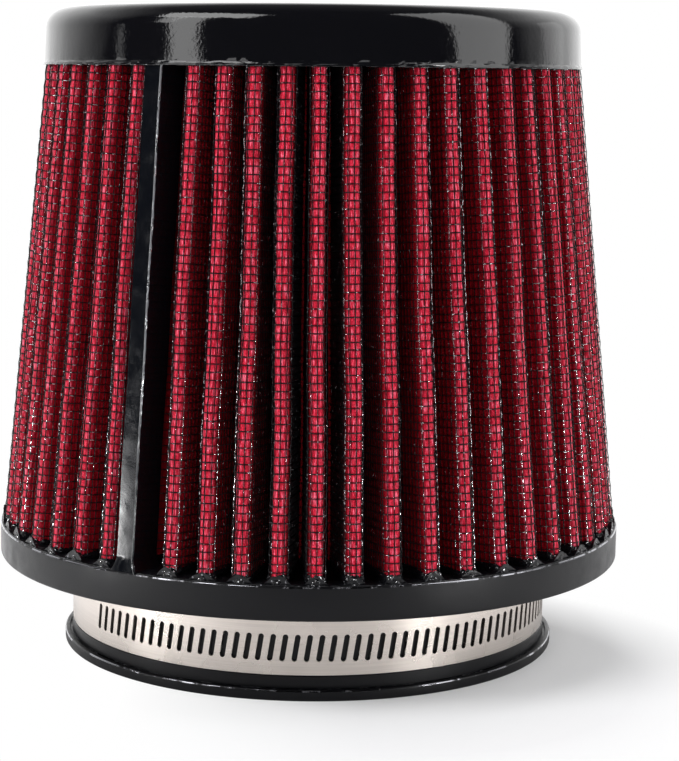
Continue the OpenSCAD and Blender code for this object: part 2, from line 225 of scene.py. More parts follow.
def at_height(flat, z):
    """Flat points lifted to one height, or each to its own."""
    return np.column_stack((flat, np.broadcast_to(z, len(flat))))


def ripple(turn, waves, seed):
    """Uneven value between -1 and 1 that closes on itself over one turn."""
    draw = np.random.default_rng(seed)
    total = np.zeros_like(turn, dtype=float)
    for count in waves:
        total += np.sin(2 * np.pi * (count * turn + draw.uniform()))
    return total / len(waves)


def between(start, end, steps):
    """Points between two rows of points, at each of the given shares of the way."""
    share = np.asarray(steps)[:, None]
    return start[..., None, :] * (1 - share) + end[..., None, :] * share


class FoldedSheet:
    """Where the folded sheet stands: its crests, its inner folds and its two ends in the strip.

    A shape is the angles of the points round a crest, their shares of the way down a flank and their
    angles round an inner fold. A distance d is from the middle of the sheet outwards.
    """
    sunk = 0.0003
    strip_wall = 0.00055

    def __init__(self, scene):
        own = self.own = scene.air_filter.sheet
        strip = scene.air_filter.strip
        self.cloth = scene.air_filter.screen
        self.count = own.pleats
        self.low, self.high = SHEET_LOW, SHEET_HIGH
        self.slope = (self.crest_radius(self.low) - self.crest_radius(self.high)) / (self.high - self.low)
        self.thickness = own.gauze + 2 * own.screen + 2 * own.layer_gap
        self.crest_fold = own.crest_width / 2 - self.thickness / 2
        self.inner_fold = self.thickness / 2 + own.fold_room
        self.wire_face = own.gauze / 2 + own.layer_gap + own.screen / 2
        self.strip_depth = strip.depth
        self.end_offset = strip.width / 2 - self.strip_wall - self.thickness / 2
        draw = np.random.default_rng(11)
        self.phases = draw.uniform(0, 1, (3, self.count))
        self.line_phase = draw.uniform(-0.5, 0.5, self.count)
        spacing = (2 * np.pi - own.gap_right - own.gap_left) / (self.count - 1)
        k = np.arange(1, self.count + 1)
        self.azimuth = (own.seam_azimuth + own.gap_right + (k - 1) * spacing
                        - own.wander * (1 - np.cos(2 * np.pi * own.wander_waves * k / self.count)) / 2)

    def crest_radius(self, z):
        share = (z - self.low) / (self.high - self.low)
        return (RING_R - self.own.setback) * (1 - share) + (CAP_R - self.own.inset) * share

    def crest_azimuth(self, z):
        """Azimuth of every crest at a height, with its sway."""
        share = min(max((z - self.low) / (self.high - self.low), 0), 1)
        swing = (np.sin(2 * np.pi * (1.1 * share + self.phases[0]))
                 + 0.4 * np.sin(2 * np.pi * (3.3 * share + self.phases[1])))
        return self.azimuth + self.own.sway * math.sin(math.pi * share) ** 0.5 * swing / self.crest_radius(z)

    def fold_azimuth(self, z):
        seam = self.own.seam_azimuth
        edges = np.concatenate(([seam], self.crest_azimuth(z), [seam + 2 * np.pi]))
        return (edges[:-1] + edges[1:]) / 2

    def crest(self, z, d, angles, which=None, tuck=0.0):
        """Points round the crests at height z."""
        azimuth = self.crest_azimuth(z)
        azimuth = azimuth[:, None] if which is None else azimuth[which]
        reach = self.crest_fold + d - tuck
        radius = self.crest_radius(z) - self.own.crest_width / 2 + tuck + reach * np.cos(angles)
        return polar(radius, azimuth, reach * np.sin(angles))

    def fold(self, z, d, angles, which=None):
        """Points round the inner folds, where fold 0 stands before crest 0."""
        azimuth = self.fold_azimuth(z)
        azimuth = azimuth[:, None] if which is None else azimuth[which]
        reach = self.inner_fold - d
        radius = (self.crest_radius(z) - self.own.depth + self.inner_fold + self.thickness / 2
                  - reach * np.cos(angles))
        return polar(radius, azimuth, reach * np.sin(angles))

    def end(self, z, d, side):
        """Points of one end of the sheet in the strip, from the outside inwards."""
        depths = np.array([self.strip_wall, self.strip_depth])
        return polar(self.crest_radius(z) - depths, self.own.seam_azimuth + (0 if side > 0 else 2 * np.pi),
                     side * (self.end_offset + d))

    def outline(self, z, d, crest_angles, flank_steps, fold_angles, crest_d=None, tuck=0.0):
        """The whole sheet at one height, from the strip all the way round to the strip."""
        crests = self.crest(z, d if crest_d is None else crest_d, crest_angles, tuck=tuck)
        folds = self.fold(z, d, fold_angles)
        rising = between(folds[:-1, -1], crests[:, 0], flank_steps)
        falling = between(crests[:, -1], folds[1:, 0], flank_steps)
        round_trip = np.concatenate((rising, crests, falling, folds[1:]), axis=1).reshape(-1, 2)
        return np.concatenate((self.end(z, d, 1), folds[0], round_trip, self.end(z, d, -1)[::-1]))

    def drop(self, line, z):
        """How far each point of a row lies below its height on the crests, square to the cone's face."""
        return (self.crest_radius(z) - np.linalg.norm(line, axis=1)) * self.slope

    def rows(self):
        """Heights on the crests of the wires that run round the cone."""
        pitch = self.cloth.row_pitch
        return np.arange(self.low + pitch / 2, self.high + self.slope * self.own.depth, pitch)

    def laid(self, line, z, lift=0.0):
        """Points of a row that starts from the outline at height z."""
        radius = np.linalg.norm(line, axis=1)
        height = np.clip(z - self.drop(line, z) + lift, self.low - self.sunk, self.high + self.sunk)
        grown = radius + (z - height) * self.slope
        return at_height(line * (grown / radius)[:, None], height)

    def pleat_depths(self, crest_angles, flank_steps, fold_angles):
        """How deep each point of the outline lies in a pleat, from 0 on a crest to 1 in a fold."""
        # This number also masks the painted shade on the gauze: it rises on the crest's sides from the
        # shoulder, and near the strip.
        shoulder = 0.6
        crest = shoulder * np.abs(crest_angles / (np.pi / 2)) ** 4
        flank = shoulder + (1 - shoulder) * np.asarray(flank_steps) ** 0.5
        fold = np.ones(len(fold_angles))
        pleat = np.concatenate((flank[::-1], crest, flank, fold))
        return np.concatenate(([0.4, 0.7], fold, np.tile(pleat, self.count), [0.7, 0.4]))

    def flank(self, d, fold_angle, tuck=0.0):
        """Mean length of the straight side of a pleat."""
        middle = (self.low + self.high) / 2
        foot = self.crest(middle, d, np.radians([90]), tuck=tuck)[:, 0]
        edge = self.fold(middle, d, np.array([-fold_angle]))[1:, 0]
        return float(np.mean(np.linalg.norm(foot - edge, axis=1)))

    def distances(self, crest_angles, flank_steps, fold_angles):
        """Distance along the cloth of each point of the outline, with the upright wires at whole pitches."""
        pitch = self.cloth.line_pitch
        reach = self.crest_fold + self.wire_face
        quarter = reach * np.pi / 2
        flank = self.flank(self.wire_face, fold_angles[-1])
        steps = np.asarray(flank_steps)
        bend = (fold_angles - fold_angles[0]) * self.inner_fold
        pleat = np.concatenate(((steps - 1) * flank - quarter, crest_angles * reach, quarter + steps * flank,
                                quarter + flank + bend))
        period = math.ceil((2 * (quarter + flank) + bend[-1]) / pitch) * pitch
        starts = np.arange(self.count) * period - self.line_phase * pitch
        body = (starts[:, None] + pleat).reshape(-1)
        lead = starts[0] - quarter - flank - bend[::-1]
        ends = self.strip_depth * np.array([1, 2])
        return np.concatenate((lead[0] - ends[::-1], lead, body, body[-1] + ends))


def deselect():
    if bpy.context.mode != "OBJECT":
        bpy.ops.object.mode_set(mode="OBJECT")
    bpy.ops.object.select_all(action="DESELECT")


def choose(piece):
    """Makes one piece the only selected and the active one."""
    deselect()
    piece.select_set(True)
    bpy.context.view_layer.objects.active = piece


@contextmanager
def editing(piece):
    """Edit mode on the piece, with all of it selected."""
    choose(piece)
    bpy.ops.object.mode_set(mode="EDIT")
    bpy.ops.mesh.select_all(action="SELECT")
    yield
    bpy.ops.object.mode_set(mode="OBJECT")


def select_open_edges():
    bpy.ops.mesh.select_all(action="DESELECT")
    bpy.ops.mesh.select_non_manifold(extend=False, use_wire=False, use_multi_face=False,
                                     use_non_contiguous=False, use_verts=False)


def point_outwards(piece):
    """Merges doubles, then turns every face outwards."""
    with editing(piece):
        bpy.ops.mesh.remove_doubles(threshold=1e-6)
        bpy.ops.mesh.normals_make_consistent(inside=False)


def give_wall(piece, thickness, offset):
    """Thickens a sheet into a wall."""
    wall = piece.modifiers.new("wall", "SOLIDIFY")
    wall.thickness = thickness
    wall.offset = offset
    choose(piece)
    bpy.ops.object.modifier_apply(modifier=wall.name)


def store(mesh, name, values):
    """Stores a number at each point of a mesh, for its material."""
    flat = values.reshape(-1).astype(np.float32)
    mesh.attributes.new(name, "FLOAT", "POINT").data.foreach_set("value", flat)


def mesh_grid(name, points, uv=None, depth=None):
    """A grid with its vertices moved to an array of points in rows, with a UV map in metres."""
    rows, columns = points.shape[:2]
    deselect()
    bpy.ops.mesh.primitive_grid_add(x_subdivisions=columns - 1, y_subdivisions=rows - 1, size=1)
    piece = bpy.context.object
    piece.name = name
    mesh = piece.data
    mesh.vertices.foreach_set("co", points.reshape(-1).astype(np.float32))
    if uv is not None:
        corners = np.zeros(len(mesh.loops), dtype=np.int32)
        mesh.loops.foreach_get("vertex_index", corners)
        flat = uv.reshape(-1, 2)[corners].reshape(-1)
        mesh.uv_layers.active.data.foreach_set("uv", flat.astype(np.float32))
    if depth is not None:
        store(mesh, "depth", depth)
    mesh.update()
    return piece


def loft(name, rings):
    """A closed skin through rings of points, with flat ends."""
    piece = mesh_grid(name, np.concatenate((rings, rings[:, :1]), axis=1))
    with editing(piece):
        bpy.ops.mesh.remove_doubles(threshold=1e-6)
        select_open_edges()
        bpy.ops.mesh.fill(use_beauty=True)
        bpy.ops.mesh.select_all(action="SELECT")
        bpy.ops.mesh.normals_make_consistent(inside=False)
    return piece


def rounded(corners):
    """Outline in radius and height through corners, each given with its own rounding radius."""
    outline = []
    for index, (radius, height, rounding) in enumerate(corners):
        here = Vector((radius, height))
        if rounding == 0:
            outline.append(here)
            continue
        before = Vector(corners[index - 1][:2]) - here
        after = Vector(corners[(index + 1) % len(corners)][:2]) - here
        half = before.angle(after) / 2
        reach = rounding / math.tan(half)
        before, after = before.normalized(), after.normalized()
        start, end = here + before * reach, here + after * reach
        centre = here + (before + after).normalized() * rounding / math.sin(half)
        from_angle = math.atan2(*(start - centre).yx)
        turn = (math.atan2(*(end - centre).yx) - from_angle + math.pi) % (2 * math.pi) - math.pi
        steps = max(2, round(abs(turn) / math.radians(12)))
        for step in range(steps + 1):
            a = from_angle + turn * step / steps
            outline.append(centre + Vector((math.cos(a), math.sin(a))) * rounding)
    return outline


def lathe(name, outline, steps):
    """A closed outline of radius and height spun round the axis."""
    deselect()
    bpy.ops.mesh.primitive_circle_add(vertices=len(outline), radius=RING_R, fill_type="NOTHING")
    piece = bpy.context.object
    piece.name = name
    for vertex, point in zip(piece.data.vertices, outline):
        vertex.co = (point.x, 0, point.y)
    with editing(piece):
        bpy.ops.mesh.spin(steps=steps, angle=2 * math.pi, center=(0, 0, 0), axis=(0, 0, 1))
    point_outwards(piece)
    return piece


def link_object(name, data):
    """A new object in the scene."""
    made = bpy.data.objects.new(name, data)
    bpy.context.scene.collection.objects.link(made)
    return made


def wire_mesh(name, paths, diameter):
    """Three-sided wires along open paths, each path an array of points."""
    section = bpy.data.curves.new(name + "_section", "CURVE")
    corners = section.splines.new("POLY")
    corners.points.add(2)
    reach = diameter / 2 * WIRE_CORNER
    for point, turn in zip(corners.points, (90, 210, 330)):
        point.co = (reach * math.cos(math.radians(turn)), reach * math.sin(math.radians(turn)), 0, 1)
    corners.use_cyclic_u = True
    curve = bpy.data.curves.new(name, "CURVE")
    curve.dimensions = "3D"
    curve.bevel_mode = "OBJECT"
    curve.bevel_object = link_object(section.name, section)
    curve.use_fill_caps = True
    for path in paths:
        spline = curve.splines.new("POLY")
        spline.points.add(len(path) - 1)
        spline.points.foreach_set("co", np.column_stack((path, np.ones(len(path)))).reshape(-1))
    choose(link_object(name, curve))
    bpy.ops.object.convert(target="MESH")
    wires = bpy.context.object
    bpy.data.objects.remove(curve.bevel_object)
    with editing(wires):
        bpy.ops.mesh.normals_make_consistent(inside=False)
    return wires


def mark_edges(piece, sheet):
    """Stores how near each point of the piece lies to an edge of a crest."""
    mesh = piece.data
    points = np.zeros(len(mesh.vertices) * 3, dtype=np.float32)
    mesh.vertices.foreach_get("co", points)
    across, along, up = points.reshape(-1, 3).T
    radius = np.hypot(across, along)
    turn = np.arctan2(across, -along) % (2 * np.pi)
    crests = np.sort(sheet.azimuth % (2 * np.pi))
    crests = np.concatenate(([crests[-1] - 2 * np.pi], crests, [crests[0] + 2 * np.pi]))
    after = np.searchsorted(crests, turn)
    away = np.minimum(crests[after] - turn, turn - crests[after - 1]) * radius
    half = sheet.own.crest_width / 2
    middle, spread, depth = 0.85 * half, 0.25 * half, 0.8 * half
    edge = np.clip(1 - np.abs(away - middle) / spread, 0, 1)
    edge[radius < sheet.crest_radius(up) - depth] = 0
    store(mesh, "edge", edge)


def assign_faces(piece, material, chosen):
    """Gives a second material to the faces whose middles the test picks."""
    piece.data.materials.append(material)
    for face in piece.data.polygons:
        if chosen(face.center):
            face.material_index = len(piece.data.materials) - 1


def give_material(piece, material):
    piece.data.materials.clear()
    piece.data.materials.append(material)


def place(piece, slot, material, *replaced, smooth=40):
    """Gives the finished piece its material and smooth shading, hides the parts it replaces, and lets it ride
    on the filter. The slot is not used.
    """
    give_material(piece, material)
    choose(piece)
    bpy.ops.object.shade_smooth_by_angle(angle=math.radians(smooth))
    if replaced:
        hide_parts(*replaced)
    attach(piece, BODY)


# Materials

def feed(socket, value):
    """Links an input to an output, or sets it to a number, a vector or a colour."""
    if isinstance(value, bpy.types.NodeSocket):
        socket.id_data.links.new(value, socket)
    elif socket.type == "RGBA" and len(value) == 3:
        socket.default_value = (*value, 1)
    else:
        socket.default_value = value


def add_node(tree, kind, inputs=None, **settings):
    """A shader node with its settings, and its inputs fed by name or by number."""
    node = tree.nodes.new("ShaderNode" + kind)
    for key, value in settings.items():
        setattr(node, key, value)
    for key, value in (inputs or {}).items():
        feed(node.inputs[key], value)
    return node


def add_math(operation, *values):
    """A Math node on outputs and numbers."""
    tree = next(value.id_data for value in values if isinstance(value, bpy.types.NodeSocket))
    return add_node(tree, "Math", dict(enumerate(values)), operation=operation).outputs["Value"]


def add_blend(factor, first, second):
    """A mix of two colours, each an output or a plain colour."""
    inputs = {"Factor": factor, 6: first, 7: second}
    return add_node(factor.id_data, "Mix", inputs, data_type="RGBA").outputs[2]


def add_range(value, low, high, to_low, to_high):
    """The value carried from one range to another, and held at its ends."""
    inputs = {"Value": value, "From Min": low, "From Max": high, "To Min": to_low, "To Max": to_high}
    return add_node(value.id_data, "MapRange", inputs).outputs["Result"]


def add_noise(vector, scale, detail=2.0, roughness=0.5):
    inputs = {"Vector": vector, "Scale": scale, "Detail": detail, "Roughness": roughness}
    return add_node(vector.id_data, "TexNoise", inputs).outputs["Fac"]


def add_ridges(value):
    """Round ridges, one for each whole step of the value."""
    return add_math("ABSOLUTE", add_math("SINE", add_math("MULTIPLY", value, math.pi)))


def split(vector):
    """The X, Y and Z of a vector."""
    return add_node(vector.id_data, "SeparateXYZ", {0: vector}).outputs


def position(shader):
    """Place on the object."""
    return add_node(shader.id_data, "TexCoord").outputs["Object"]


def attribute(shader, name):
    """A number stored at the points of the mesh."""
    return add_node(shader.id_data, "Attribute", attribute_name=name).outputs["Fac"]


def add_bump(shader, height, strength, distance):
    inputs = {"Strength": strength, "Distance": distance, "Height": height}
    feed(shader.inputs["Normal"], add_node(shader.id_data, "Bump", inputs).outputs["Normal"])


def new_group(name, inputs, outputs):
    """An empty node group with a vector and numbers as inputs, its input's and its output's sockets."""
    group = bpy.data.node_groups.new(name, "ShaderNodeTree")
    group.interface.new_socket(name="Vector", in_out="INPUT", socket_type="NodeSocketVector")
    for in_out, titles in (("INPUT", inputs), ("OUTPUT", outputs)):
        for title in titles:
            group.interface.new_socket(name=title, in_out=in_out, socket_type="NodeSocketFloat")
    return group, group.nodes.new("NodeGroupInput").outputs, group.nodes.new("NodeGroupOutput").inputs


def moulded_skin_group(name):
    """Skin of a moulding: slow unevenness, fine grain and a mask of scuffs."""
    group, source, result = new_group(name, ("Swell", "Grain"), ("Height", "Scuffs"))
    vector, swell = source["Vector"], source["Swell"]
    grain = add_math("MULTIPLY", add_noise(vector, source["Grain"], 3), 0.12)
    scuffs = add_noise(vector, add_math("MULTIPLY", swell, 2.5), 6, 0.65)
    feed(result["Height"], add_math("ADD", add_noise(vector, swell), grain))
    feed(result["Scuffs"], add_range(scuffs, 0.42, 0.72, 0, 1))
    return group


def woven_threads_group(name):
    """Open weave of cotton threads on a flat map in metres."""
    group, source, result = new_group(name, ("Threads",), ("Height",))
    flat = source["Vector"]
    wobble = add_noise(flat, 420).node.outputs["Color"]
    shift = add_node(group, "VectorMath", {0: wobble, "Scale": 0.0006}, operation="SCALE").outputs[0]
    parts = split(add_node(group, "VectorMath", {0: flat, 1: shift}, operation="ADD").outputs[0])
    ridges = [add_ridges(add_math("MULTIPLY", parts[axis], source["Threads"])) for axis in ("X", "Y")]
    fluff = add_noise(flat, 900, 4)
    feed(result["Height"], add_math("ADD", add_math("MAXIMUM", *ridges), fluff))
    return group


def brushed_lines_group(name):
    """Fine lines that run round the axis of a brushed strip, with slow cloudy changes."""
    group, source, result = new_group(name, ("Lines",), ("Height", "Clouds"))
    parts = split(source["Vector"])
    stretch = {axis: add_math("MULTIPLY", add_math("MULTIPLY", parts[axis], source["Lines"]), share)
               for axis, share in (("X", 0.012), ("Y", 0.012), ("Z", 1.0))}
    feed(result["Height"], add_noise(add_node(group, "CombineXYZ", stretch).outputs[0], 1, 4))
    feed(result["Clouds"], add_noise(source["Vector"], 90, 3))
    return group


def bright_specks_group(name):
    """Mask of small specks, and a height that follows them."""
    group, source, result = new_group(name, ("Scale", "Share"), ("Mask", "Height"))
    noise = add_noise(source["Vector"], source["Scale"], 1)
    over = add_math("SUBTRACT", noise, add_range(source["Share"], 0, 1, 0.75, 0.25))
    feed(result["Mask"], add_range(over, 0, 0.06, 0, 1))
    feed(result["Height"], noise)
    return group


def add_group(name, build, vector, **values):
    """Places the shared group of that name, built the first time it is asked for, and gives its outputs."""
    group = bpy.data.node_groups.get(name) or build(name)
    return add_node(vector.id_data, "Group", {"Vector": vector, **values}, node_tree=group).outputs


def new_material(name, base, **values):
    """A material and its Principled shader, whose values are named with underscores for spaces."""
    material = bpy.data.materials.new(name)
    material.use_nodes = True
    shader = material.node_tree.nodes["Principled BSDF"]
    feed(shader.inputs["Base Color"], base)
    for key, value in values.items():
        feed(shader.inputs[key.replace("_", " ")], value)
    return material, shader


def new_moulding(name, base, swell, grain, strength, distance, rough=None, **values):
    """A material with the moulded skin in its bump and, over a given range, in its roughness."""
    material, shader = new_material(name, base, **values)
    skin = add_group("Moulded skin", moulded_skin_group, position(shader), Swell=swell, Grain=grain)
    add_bump(shader, skin["Height"], strength, distance)
    if rough:
        feed(shader.inputs["Roughness"], add_range(skin["Scuffs"], 0, 1, *rough))
    return material, shader, skin["Scuffs"]


def add_specks(shader, base, bright, scale, share):
    """Bright specks over a base, with a share that is an output or a number."""
    specks = add_group("Bright specks", bright_specks_group, position(shader), Scale=scale, Share=share)
    feed(shader.inputs["Base Color"], add_blend(specks["Mask"], base, bright))
    feed(shader.inputs["Metallic"], specks["Mask"])
    return specks


def shade(tint, factor):
    return [min(1, part * factor) for part in tint]


def cap_material(own):
    return new_moulding("cap_gloss", own.cap_colour, swell=55.0, grain=1500.0, strength=0.3, distance=0.0006,
                        rough=(0.05, 0.12))[0]


def base_material(own):
    """Satin black, with a painted highlight line on the edges of the ring and of the lip, made metallic and
    smoother there too.
    """
    material, shader, scuffs = new_moulding(
        "base_satin", own.base_colour, swell=70.0, grain=3200.0, strength=0.35, distance=0.0003,
        Specular_IOR_Level=0.22)
    tint = add_blend(scuffs, own.base_colour, shade(own.base_colour, 1.5))
    height = split(position(shader))["Z"]
    # Painted highlight: a thin grey line along the top edge of the ring and of the lip, broken by the scuffs.
    edges = [add_math("COMPARE", height, top - own.edge_highlight_half * 1.6, own.edge_highlight_half)
             for top in (SHEET_LOW, LIP_TOP)]
    edge_highlight = add_math("MULTIPLY", add_math("MAXIMUM", *edges), add_range(scuffs, 0.1, 0.3, 0, 1))
    feed(shader.inputs["Base Color"], add_blend(edge_highlight, tint, own.edge_highlight_colour))
    feed(shader.inputs["Metallic"], edge_highlight)
    rough, smoother = add_range(scuffs, 0, 1, 0.34, 0.46), -0.24
    feed(shader.inputs["Roughness"], add_math("MULTIPLY_ADD", edge_highlight, smoother, rough))
    return material


def flash_material(own):
    """The same satin black on the ragged rim, with a few bright specks."""
    material, shader, scuffs = new_moulding(
        "flash_satin", own.base_colour, swell=300.0, grain=3200.0, strength=0.6, distance=0.0004,
        rough=(0.28, 0.46), Specular_IOR_Level=0.3)
    tint = add_blend(scuffs, own.base_colour, shade(own.base_colour, 2.5))
    add_specks(shader, tint, own.edge_highlight_colour, scale=1400.0, share=0.16)
    return material


def potting_material(own):
    """Wet black casting, with bright specks on the crests."""
    material, shader = new_material("potting", own.cap_colour, Roughness=0.16, Specular_IOR_Level=0.2)
    share = add_range(attribute(shader, "depth"), 0, 0.6, 0.25, 0)
    specks = add_specks(shader, own.cap_colour, own.speck_colour, 1700.0, share)
    add_bump(shader, specks["Height"], 0.7, 0.0004)
    return material


def strip_material(own):
    return new_moulding("strip_gloss", own.strip_colour, swell=120.0, grain=2200.0, strength=0.25,
                        distance=0.0003, rough=(0.1, 0.24), Specular_IOR_Level=0.35)[0]


def strip_edge_material(own):
    """Painted highlight along the strip's ridge, which fades towards the base, with bright metallic specks
    where it is lightest.
    """
    material, shader, _ = new_moulding(
        "strip_edge", own.ridge_highlight_colour, swell=500.0, grain=2600.0, strength=0.35, distance=0.0003,
        Roughness=0.22)
    # Painted highlight: the ridge turns lighter higher up and fades into the strip's black towards the base.
    highlight_rise = add_range(split(position(shader))["Z"], 0.044, 0.066, 0, 1)
    edge = add_blend(highlight_rise, own.strip_colour, own.ridge_highlight_colour)
    add_specks(shader, edge, own.ridge_speck_colour, 420.0, add_range(highlight_rise, 0, 1, 0, 0.42))
    return material


def wire_material(own):
    """Black coated wire, with broken glints where the coating is thin."""
    material, shader = new_material("coated_wire", own.wire_colour, Specular_IOR_Level=0.2)
    share = add_range(attribute(shader, "edge"), 0, 1, 0.16, 0.64)
    specks = add_specks(shader, own.wire_colour, own.speck_colour, 1500.0, share)
    feed(shader.inputs["Roughness"], add_range(specks["Mask"], 0, 1, 0.3, 0.16))
    add_bump(shader, specks["Height"], 0.5, 0.0002)
    return material


def gauze_material(own, cloth):
    """Red gauze: puffed between the wires and drawn into creases, with painted shade at the wires, in the
    creases, on the crests' sides and down in the folds, and painted highlight streaks on the crests.
    """
    material, shader = new_material("oiled_gauze", own.gauze_colour, Specular_IOR_Level=0.4,
                                    Specular_Tint=(1, 0.45, 0.52, 1))
    flat = add_node(shader.id_data, "UVMap", uv_map="UVMap").outputs["UV"]
    threads = add_group("Woven threads", woven_threads_group, flat, Threads=1900.0)
    parts = split(flat)
    drawn = {axis: add_math("MULTIPLY", parts[axis], scale) for axis, scale in (("X", 2600.0), ("Y", 330.0))}
    creases = add_noise(add_node(shader.id_data, "CombineXYZ", drawn).outputs[0], 1, 3)
    wires = (("X", 0.0, cloth.line_pitch), ("Y", SHEET_LOW + cloth.row_pitch / 2, cloth.row_pitch))
    turns = [add_math("DIVIDE", add_math("SUBTRACT", parts[axis], start), pitch)
             for axis, start, pitch in wires]
    puff = add_math("MINIMUM", *(add_ridges(turn) for turn in turns))
    # Painted shade: the gauze darkens from its crests' sides down the flanks into the folds.
    deep = add_range(attribute(shader, "depth"), 0.04, 0.6, 0, 1)
    deepest_shade_colour = shade(own.painted_shade_colour, 0.4)
    body = add_blend(deep, own.gauze_colour, own.painted_shade_colour)
    # Painted shade in the creases.
    body = add_blend(add_range(creases, 0.33, 0.55, 0.55, 0), body, deepest_shade_colour)
    # Painted highlight: light pink streaks on the crests, none in the folds.
    highlight_streaks = add_math("MULTIPLY", add_range(creases, 0.52, 0.66, 0, 0.8), add_math("SUBTRACT", 1.0, deep))
    body = add_blend(highlight_streaks, body, own.streak_highlight_colour)
    # Painted shade along the wires, between the puffs.
    shade_at_wires = add_range(puff, 0.1, 0.45, 0.7, 0)
    feed(shader.inputs["Base Color"], add_blend(shade_at_wires, body, deepest_shade_colour))
    feed(shader.inputs["Roughness"], add_range(deep, 0, 1, 0.42, 0.9))
    height = add_math("ADD", add_math("MULTIPLY", threads["Height"], 0.6), add_math("MULTIPLY", puff, 1.2))
    height = add_math("ADD", height, add_math("MULTIPLY", creases, 2.2))
    add_bump(shader, height, 0.8, 0.0002)
    return material


def steel_material(name, steel, roughness, lines, brushed_share):
    """Steel whose highlights spread across the brushing, which runs round the axis."""
    material, shader = new_material(name, steel, Metallic=1.0, Anisotropic=brushed_share,
                                    Anisotropic_Rotation=0.25)
    brushed = add_group("Brushed lines", brushed_lines_group, position(shader), Lines=lines)
    feed(shader.inputs["Base Color"], add_blend(brushed["Height"], shade(steel, 0.82), shade(steel, 1.12)))
    cloudy = add_range(brushed["Clouds"], 0.3, 0.7, roughness - 0.05, roughness + 0.07)
    feed(shader.inputs["Roughness"], cloudy)
    add_bump(shader, brushed["Height"], 0.35, 0.00005)
    return material


# Pieces

class AIRFILTER_OT_gauze(bpy.types.Operator):
    """Folds the red gauze into its pleats"""
    bl_idname = "airfilter.gauze"
    bl_label = "Gauze"

    def execute(self, context):
        sheet = FoldedSheet(context.scene)
        own = sheet.own
        shape = (np.radians(np.linspace(-90, 90, 9)), (0.25, 0.5, 0.75), np.radians(np.linspace(-60, 60, 5)))
        heights = np.linspace(sheet.low - sheet.sunk, sheet.high + sheet.sunk, 26)
        along = sheet.distances(*shape)
        points, uv = [], []
        for z in heights:
            line = sheet.outline(z, 0, *shape, tuck=own.tuck)
            points.append(at_height(line, z))
            uv.append(np.column_stack((along, z + sheet.drop(line, z))))
        depth = np.tile(sheet.pleat_depths(*shape), (len(heights), 1))
        gauze = mesh_grid("pleated_gauze", np.array(points), np.array(uv), depth)
        give_wall(gauze, own.gauze, 0)
        place(gauze, "oiled_gauze", gauze_material(own, sheet.cloth), "filter_media")
        return {"FINISHED"}


def lay_screen(sheet, names, node, row, lines, glints=False):
    """A woven screen in three pieces: its lower rows, its upper rows and the wires up the cone."""
    cloth = sheet.cloth
    material = bpy.data.materials.get("coated_wire") or wire_material(cloth)
    rows = [row(sheet, z) for z in sheet.rows()]
    half = len(rows) // 2
    for name, paths in zip(names, (rows[:half], rows[half:], lines(sheet))):
        wires = wire_mesh(name, paths, cloth.wire)
        if glints:
            mark_edges(wires, sheet)
        place(wires, "screen_wire", material, node, smooth=180)


class AIRFILTER_OT_screens(bpy.types.Operator):
    """Lays the woven wire screen over the gauze"""
    bl_idname = "airfilter.screens"
    bl_label = "Wire screen"

    def execute(self, context):
        lay_screen(FoldedSheet(context.scene), ("screen_rows_low", "screen_rows_high", "screen_lines"),
                   "outer_screen", self.row, self.lines, glints=True)
        return {"FINISHED"}

    @staticmethod
    def row(sheet, z):
        """One wire round the cone at height z, which swings over and under the crests' lines."""
        cloth = sheet.cloth
        number = round((z - sheet.low) / cloth.row_pitch)
        angles = np.radians(np.linspace(-90, 90, 7))
        along = angles[None, :] * (sheet.crest_fold + sheet.wire_face)
        swing = np.cos(np.pi * (along / cloth.line_pitch - sheet.line_phase[:, None] + number))
        bend = np.radians([-OUTER_BEND, 0, OUTER_BEND])
        line = sheet.outline(z, sheet.wire_face, angles, (0.2, 0.5, 0.8), bend,
                             crest_d=sheet.wire_face + cloth.weave * swing)
        droop, waves = 0.00012, (5, 23, 61)
        return sheet.laid(line, z, droop * ripple(np.linspace(0, 1, len(line)), waves, number))

    @staticmethod
    def lines(sheet):
        """The wires up the cone: swinging ones on the crests, straight ones on the flanks."""
        cloth, face = sheet.cloth, sheet.wire_face
        reach = sheet.crest_fold + face
        quarter = reach * math.pi / 2
        flank = sheet.flank(face, math.radians(OUTER_BEND))
        per_side = int((quarter + flank) / cloth.line_pitch)
        on_crest, on_flank = [], []
        for k in range(sheet.count):
            for i in range(-per_side, per_side + 1):
                along = (i + sheet.line_phase[k]) * cloth.line_pitch
                if abs(along) <= quarter:
                    on_crest.append((k, along / reach, i))
                elif abs(along) < quarter + flank - cloth.line_pitch / 2:
                    on_flank.append((k, math.copysign((abs(along) - quarter) / flank, along)))
        crest_of, turn, order = (np.array(column) for column in zip(*on_crest))
        rows = sheet.rows()
        levels = []
        for number, z in enumerate(np.concatenate(([sheet.low], rows[rows < sheet.high], [sheet.high]))):
            swing = cloth.weave * (-1.0) ** (order + number)
            levels.append(at_height(sheet.crest(z, face + swing, turn, crest_of), z))
        paths = list(np.stack(levels, axis=1))
        crest_of, share = (np.array(column) for column in zip(*on_flank))
        side = np.sign(share)
        fold_of = crest_of + (side > 0)
        levels = []
        for z in np.linspace(sheet.low, sheet.high, 10):
            start = sheet.crest(z, face, side * np.pi / 2, crest_of)
            end = sheet.fold(z, face, -side * np.radians(OUTER_BEND), fold_of)
            levels.append(at_height(start + (end - start) * np.abs(share)[:, None], z))
        return paths + list(np.stack(levels, axis=1))


